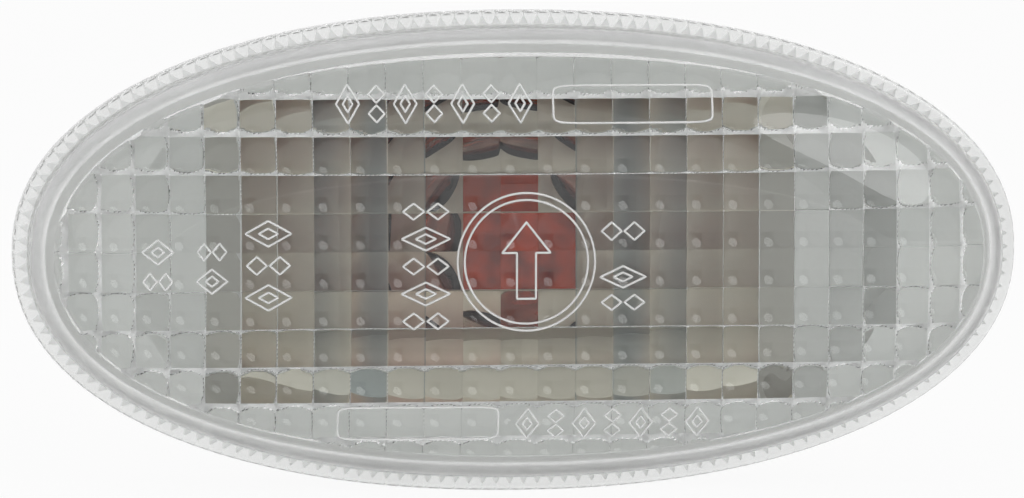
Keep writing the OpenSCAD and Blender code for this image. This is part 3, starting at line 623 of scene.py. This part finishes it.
# %% node groups
def group(name, inputs, outputs):
    """An empty shader node group with named float inputs, and named outputs of given kinds."""
    made = bpy.data.node_groups.new(name, "ShaderNodeTree")
    for label, value in inputs:
        socket = made.interface.new_socket(label, in_out="INPUT", socket_type="NodeSocketFloat")
        socket.default_value = value
    for label, kind in outputs:
        made.interface.new_socket(label, in_out="OUTPUT", socket_type=kind)
    return made, made.nodes.new("NodeGroupInput"), made.nodes.new("NodeGroupOutput")

def scaled_noise(tree, scale, detail):
    """A noise texture on Object coordinates, with its scale per metre taken from a socket."""
    place = tree.nodes.new("ShaderNodeTexCoord")
    noise = tree.nodes.new("ShaderNodeTexNoise")
    noise.inputs["Detail"].default_value = detail
    tree.links.new(place.outputs["Object"], noise.inputs["Vector"])
    tree.links.new(scale, noise.inputs["Scale"])
    return noise.outputs["Fac"]

# Moulded grain: a bump of fine noise
grain, source, result = group(
    "moulded grain", [("Grains per metre", 9000.0), ("Strength", 0.1), ("Depth", 0.00002)],
    [("Normal", "NodeSocketVector")])
bump = grain.nodes.new("ShaderNodeBump")
plug(grain, bump.inputs["Height"], scaled_noise(grain, source.outputs["Grains per metre"], 3.0))
plug(grain, bump.inputs["Strength"], source.outputs["Strength"])
plug(grain, bump.inputs["Distance"], source.outputs["Depth"])
plug(grain, result.inputs["Normal"], bump.outputs["Normal"])

# Slow mottle: the middle of a slow noise, spread between two values
mottle, source, result = group("slow mottle", [("Spots per metre", 300.0), ("Low", 0.0), ("High", 1.0)],
                               [("Value", "NodeSocketFloat")])
noise = scaled_noise(mottle, source.outputs["Spots per metre"], 4.0)
spread = brought_between(mottle, noise, (0.3, 0.7), (source.outputs["Low"], source.outputs["High"]))
plug(mottle, result.inputs["Value"], spread)
print("node groups:", [g.name for g in bpy.data.node_groups])

# %% [markdown]
# ## Finishes
# Each finish is a Principled shader in its own material: two near colours mixed by a mottle, a gloss that
# wanders a little, and a grain where the part is moulded or drawn. The clear lens and the bulb are glass.
# Rays that only test for shadow pass them, so that the tub behind them is lit. Where the face and the bulb
# shine less than real ones, it is because a full shine hazes what lies behind.

# %% a finish
def placed_group(tree, which, **values):
    """A node group in a material, with its own values."""
    made = tree.nodes.new("ShaderNodeGroup")
    made.node_tree = which
    for label, value in values.items():
        made.inputs[label.replace("_", " ")].default_value = value
    return made

def mixed(tree, factor, first, second, kind="MIX"):
    """Two colours mixed by a factor. Each of the three is a socket or a plain value."""
    mix = tree.nodes.new("ShaderNodeMix")
    mix.data_type, mix.blend_type = "RGBA", kind
    for label, value in (("Factor", factor), ("A", first), ("B", second)):
        plug(tree, mix.inputs[label], value)
    return mix.outputs["Result"]

# How much finer the gloss wanders than the colour
GLOSS_SPOTS = 1.7

def finish(name, colour_a, colour_b, spots=300.0, rough=(0.3, 0.4), grain_strength=0.0, grains=9000.0,
           depth=0.00002, **fixed):
    """A material that wanders between two colours and two roughnesses, with a grain."""
    made = bpy.data.materials.new(name)
    made.use_nodes = True
    tree = made.node_tree
    tree.nodes.clear()
    shader = tree.nodes.new("ShaderNodeBsdfPrincipled")
    surface = tree.nodes.new("ShaderNodeOutputMaterial")
    tree.links.new(shader.outputs[0], surface.inputs["Surface"])
    spread = placed_group(tree, mottle, Spots_per_metre=spots, Low=0.0, High=1.0)
    colour = mixed(tree, spread.outputs["Value"], (*colour_a, 1.0), (*colour_b, 1.0))
    tree.links.new(colour, shader.inputs["Base Color"])
    gloss = placed_group(tree, mottle, Spots_per_metre=spots * GLOSS_SPOTS, Low=rough[0], High=rough[1])
    tree.links.new(gloss.outputs["Value"], shader.inputs["Roughness"])
    if grain_strength:
        rough_skin = placed_group(tree, grain, Grains_per_metre=grains, Strength=grain_strength, Depth=depth)
        tree.links.new(rough_skin.outputs["Normal"], shader.inputs["Normal"])
    for label, value in fixed.items():
        shader.inputs[label.replace("_", " ")].default_value = value
    return made

def principled(material):
    """A finish's Principled shader."""
    return next(node for node in material.node_tree.nodes if node.type == "BSDF_PRINCIPLED")

def glass(name, colour_a, colour_b, shadow=(0.9, 0.91, 0.9), **values):
    """A finish that lets rays which only test for shadow through, dimmed by the shadow's colour."""
    made = finish(name, colour_a, colour_b, **values)
    tree = made.node_tree
    path = tree.nodes.new("ShaderNodeLightPath")
    clear = tree.nodes.new("ShaderNodeBsdfTransparent")
    clear.inputs["Color"].default_value = (*shadow, 1.0)
    both = mixed_shader(tree, path.outputs["Is Shadow Ray"], principled(made).outputs[0], clear.outputs[0])
    tree.links.new(both, tree.get_output_node("ALL").inputs["Surface"])
    return made

# %% clear lens
acrylic = glass("clear acrylic", (0.93, 0.945, 0.94), (0.965, 0.97, 0.965), spots=120.0,
                rough=(0.0, 0.03), Transmission_Weight=1.0, IOR=1.49, Specular_IOR_Level=0.25)
# The wall and the rim are thicker, and look a little greyer
thick = glass("clear acrylic, thick wall", (0.82, 0.825, 0.82), (0.88, 0.885, 0.88), spots=120.0,
              rough=(0.1, 0.18), Transmission_Weight=0.86, IOR=1.49)
# The steps' leaning sides and the teeth between the flutes come rough from the tool, and look white
rough_side = glass("clear acrylic, rough side", (0.90, 0.905, 0.90), (0.97, 0.975, 0.97),
                   rough=(0.25, 0.4), Transmission_Weight=0.4, IOR=1.49)
# The beads' sides are too fine to be polished, so they scatter some light
bead_edge = glass("clear acrylic, moulded edge", (0.93, 0.94, 0.935), (0.97, 0.97, 0.965),
                  rough=(0.12, 0.22), Transmission_Weight=0.45, IOR=1.49)

for material in (acrylic, thick, rough_side):
    lens.data.materials.append(material)
which = np.select([lens_patches == WALL, (lens_patches >= SIDES) | (lens_patches == TEETH)], [1, 2], 0)
lens.data.polygons.foreach_set("material_index", which.astype(np.int32))
print("lens triangles in each finish:", np.bincount(which).tolist())
marks.data.materials.append(bead_edge)

# %% plastics and rubbers
shell = finish("pale moulded plastic", (0.64, 0.65, 0.635), (0.70, 0.71, 0.69), rough=(0.32, 0.46),
               grain_strength=0.25, grains=7000.0)
nylon = finish("black moulded nylon", (0.018, 0.018, 0.02), (0.032, 0.032, 0.034), rough=(0.38, 0.52),
               grain_strength=0.35, grains=6000.0)
foam = finish("foam rubber", (0.022, 0.022, 0.022), (0.045, 0.044, 0.042), spots=900.0, rough=(0.8, 0.95),
              grain_strength=0.9, grains=3500.0, depth=0.00008)
soft_rubber = finish("soft rubber", (0.012, 0.012, 0.012), (0.022, 0.022, 0.022), rough=(0.55, 0.7),
                     grain_strength=0.2, grains=5000.0)

# %% metals
spring = finish("spring steel", (0.30, 0.31, 0.33), (0.42, 0.43, 0.45), spots=500.0, rough=(0.25, 0.38),
                grain_strength=0.15, grains=8000.0, Metallic=1.0)
tungsten = finish("tungsten wire", (0.25, 0.25, 0.26), (0.36, 0.36, 0.37), rough=(0.35, 0.45),
                  Metallic=1.0)
plated = finish("plated wire", (0.55, 0.53, 0.49), (0.66, 0.64, 0.60), rough=(0.2, 0.3), Metallic=1.0)
brass = finish("stamped brass", (0.68, 0.52, 0.26), (0.78, 0.62, 0.34), spots=600.0, rough=(0.22, 0.34),
               grain_strength=0.12, grains=9000.0, Metallic=1.0)

# %% amber glass
amber = glass("amber coated glass", (0.07, 0.003, 0.001), (0.52, 0.045, 0.002), shadow=(0.85, 0.3, 0.08),
              spots=900.0, rough=(0.05, 0.12), Transmission_Weight=0.3, IOR=1.5, Specular_IOR_Level=0.1)

# %% [markdown]
# ## The trough's coating
# The reflector is plastic under a thin metal coating, which is laid on in a vacuum. Its end lips and its
# upper edge are taken here as masked from it, so they stay bare. Through the lens, the photograph shows
# blue-grey bands on both sides of the bulb, and tones that change between the trough's foot and its top.
# The bands are painted reflections, of things that this scene doesn't hold, and the tones over the height
# are painted light and shade: lighter on the upper wall, which faces down into shade, and near the foot,
# and darker between. The coating's colour is multiplied by a ramp of tones over the distance from the
# middle, for the painted reflections, and by one over the height, for the painted light and shade, both
# fitted to the photograph's tones.

# %% the coating and its bare edges
mirror = finish("vacuum metallised", (0.64, 0.63, 0.575), (0.74, 0.73, 0.675), spots=180.0,
                rough=(0.48, 0.58), grain_strength=0.12, grains=1500.0)
# Metres: how far from the middle the bare lips start, and the height at which the bare upper edge starts
LIP_START, UPPER_EDGE = 0.0208, 0.0072
LIP_COLOUR, EDGE_COLOUR = (0.34, 0.34, 0.325, 1.0), (0.66, 0.65, 0.60, 1.0)

tree, shader = mirror.node_tree, principled(mirror)
coating = shader.inputs["Base Color"].links[0].from_socket
place = tree.nodes.new("ShaderNodeTexCoord")
split = tree.nodes.new("ShaderNodeSeparateXYZ")
tree.links.new(place.outputs["Object"], split.inputs[0])
from_middle = arithmetic(tree, "ABSOLUTE", split.outputs["X"])
off_lips = arithmetic(tree, "LESS_THAN", from_middle, LIP_START)
below_edge = arithmetic(tree, "LESS_THAN", split.outputs["Z"], UPPER_EDGE)
coated = arithmetic(tree, "MULTIPLY", off_lips, below_edge)
tree.links.new(coated, shader.inputs["Metallic"])
bare_and_coated = mixed(tree, below_edge, EDGE_COLOUR, mixed(tree, off_lips, LIP_COLOUR, coating))

# %% the coating's painted reflections and painted light and shade
def toned(tree, colour, source, span, stops):
    """A colour times a ramp of colours that runs over one coordinate between two places."""
    ramp = tree.nodes.new("ShaderNodeValToRGB")
    ramp.color_ramp.interpolation = "EASE"
    while len(ramp.color_ramp.elements) < len(stops):
        ramp.color_ramp.elements.new(0.5)
    for element, (at, value) in zip(ramp.color_ramp.elements, stops):
        element.position, element.color = at, (*value, 1.0)
    tree.links.new(brought_between(tree, source, span), ramp.inputs["Fac"])
    return mixed(tree, 1.0, colour, ramp.outputs["Color"], "MULTIPLY")

HALF_SPAN_X, HALF_SPAN_Z, LIGHTER = 0.02, 0.0095, 1.25
# Painted reflections: blue-grey bands on both sides of the bulb, and lighter towards the lips
painted_reflection_bands = toned(tree, bare_and_coated, from_middle, (0.0, HALF_SPAN_X),
               [(0.0, (0.80, 0.78, 0.72)), (0.44, (0.78, 0.76, 0.71)), (0.55, (0.50, 0.56, 0.60)),
                (0.64, (0.66, 0.70, 0.72)), (0.74, (0.95, 0.93, 0.88))])
# Painted light and shade: lighter on the upper wall, which faces down into shade, and near the foot, darker
# between
painted_light_by_height = toned(tree, painted_reflection_bands, split.outputs["Z"], (-HALF_SPAN_Z, HALF_SPAN_Z),
                [(0.0, (0.78, 0.78, 0.77)), (0.06, (0.88, 0.88, 0.86)), (0.13, (1.0, 0.99, 0.97)),
                 (0.25, (0.90, 0.90, 0.89)), (0.45, (0.78, 0.78, 0.78)), (0.62, (0.76, 0.76, 0.76)),
                 (0.86, (1.0, 1.0, 1.0))])
tree.links.new(mixed(tree, 1.0, painted_light_by_height, (LIGHTER, LIGHTER, LIGHTER, 1.0), "MULTIPLY"),
               shader.inputs["Base Color"])

# %% finishes on the parts
def dress(name, material):
    """Puts one material on a CAD part."""
    part = nodes[name]
    part.data.materials.clear()
    part.data.materials.append(material)
    part.data.polygons.foreach_set("material_index", np.zeros(len(part.data.polygons), np.int32))

for name, material in {
        "housing": shell, "reflector": mirror, "panel_gasket": foam, "retaining_clip": spring,
        "bulb_glass": amber, "bulb_lead_upper": plated, "bulb_lead_lower": plated, "bulb_holder": nylon,
        "holder_seal": soft_rubber, "contact_upper": brass, "contact_lower": brass}.items():
    dress(name, material)
filament.data.materials.append(tungsten)
print("materials:", [m.name for m in bpy.data.materials if m.users])

# %% [markdown]
# ## The floor
# The lamp stands on its long edge on a plain pale floor. What the camera sees of the floor is mostly white,
# as the photograph's ground is, and a part of it is lit for real, so a faint shadow stays where they touch.

# %% floor
FLOOR_HALF, FLOOR_GAP, WHITE_SHARE = 4000.0, 0.02, 0.93

def floor_sheet(half, height, lines=9):
    """A square grid at one height: the two parameters are the way across and the way back."""
    line = np.linspace(-half, half, lines)
    x, z = np.meshgrid(line, line)
    points = np.stack([x, np.full(x.shape, height), -z], -1).reshape(-1, 3)
    return points, grid_triangles(lines, lines, closed=False)[:, ::-1]

floor = piece("floor", *floor_sheet(FLOOR_HALF, -HALF_HEIGHT - FLOOR_GAP))
pale = bpy.data.materials.new("pale floor")
pale.use_nodes = True
tree = pale.node_tree
tree.nodes.clear()
lit = tree.nodes.new("ShaderNodeBsdfDiffuse")
lit.inputs["Color"].default_value = (0.86, 0.86, 0.86, 1.0)
plain = tree.nodes.new("ShaderNodeEmission")
plain.inputs["Color"].default_value = (1.0, 1.0, 1.0, 1.0)
plain.inputs["Strength"].default_value = 1.0
share = arithmetic(tree, "MULTIPLY", seen_directly(tree), WHITE_SHARE)
ground = mixed_shader(tree, share, lit.outputs[0], plain.outputs[0])
tree.links.new(ground, tree.nodes.new("ShaderNodeOutputMaterial").inputs["Surface"])
floor.data.materials.append(pale)
